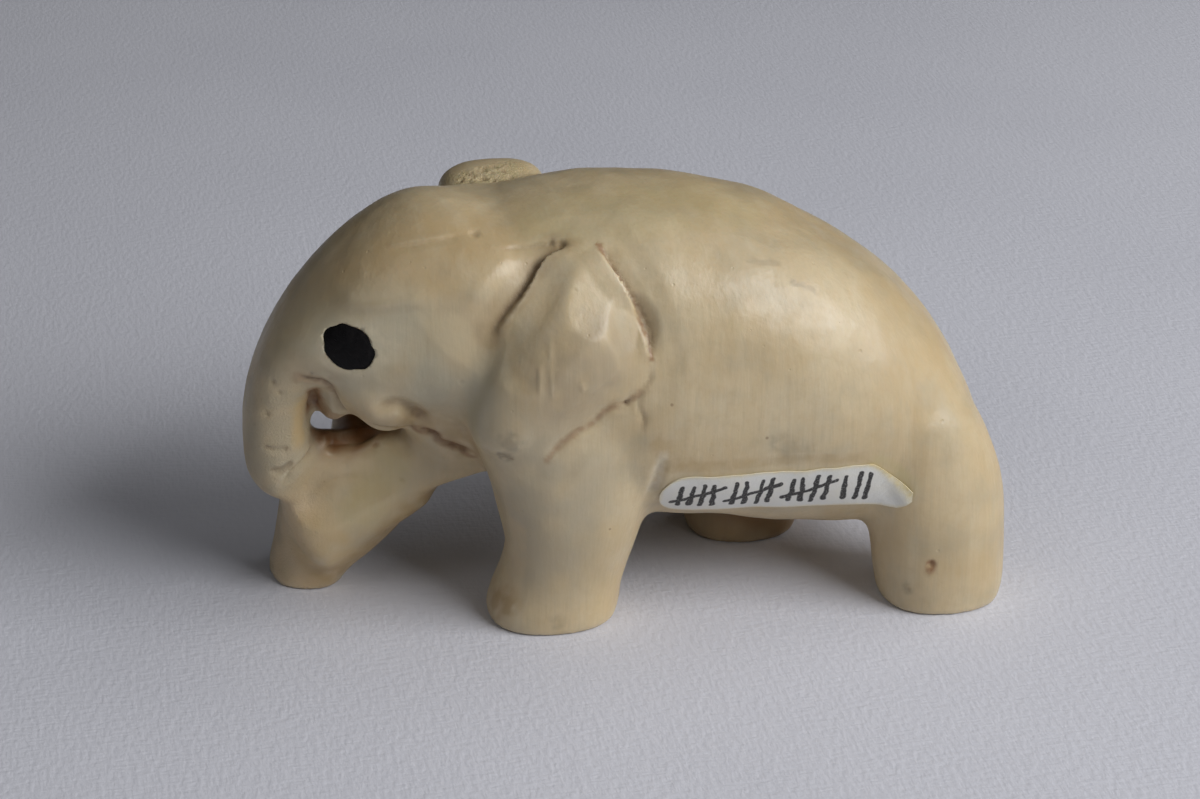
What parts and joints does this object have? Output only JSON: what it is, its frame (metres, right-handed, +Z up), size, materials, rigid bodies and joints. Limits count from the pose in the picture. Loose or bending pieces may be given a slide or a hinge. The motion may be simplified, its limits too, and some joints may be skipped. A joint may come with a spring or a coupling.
{
  "type": "carved elephant figurine",
  "caption": "Small walking elephant carved from one piece of pale bone, with black inlaid eyes and a paper collection label on its left flank.",
  "frame": {"origin": "centre of the bounding box, on the ground under the feet", "axes": "the elephant faces -X, its left side is towards -Y, +Z is up"},
  "size_m": [0.0685, 0.029, 0.0391],
  "materials": {
    "bone": "satin",
    "black_inlay": "gloss",
    "label_paper": "matte"
  },
  "bodies": {
    "root": {"carved_body": "bone", "left_eye_inlay": "black_inlay", "right_eye_inlay": "black_inlay", "paper_label": "label_paper"}
  },
  "joints": []
}
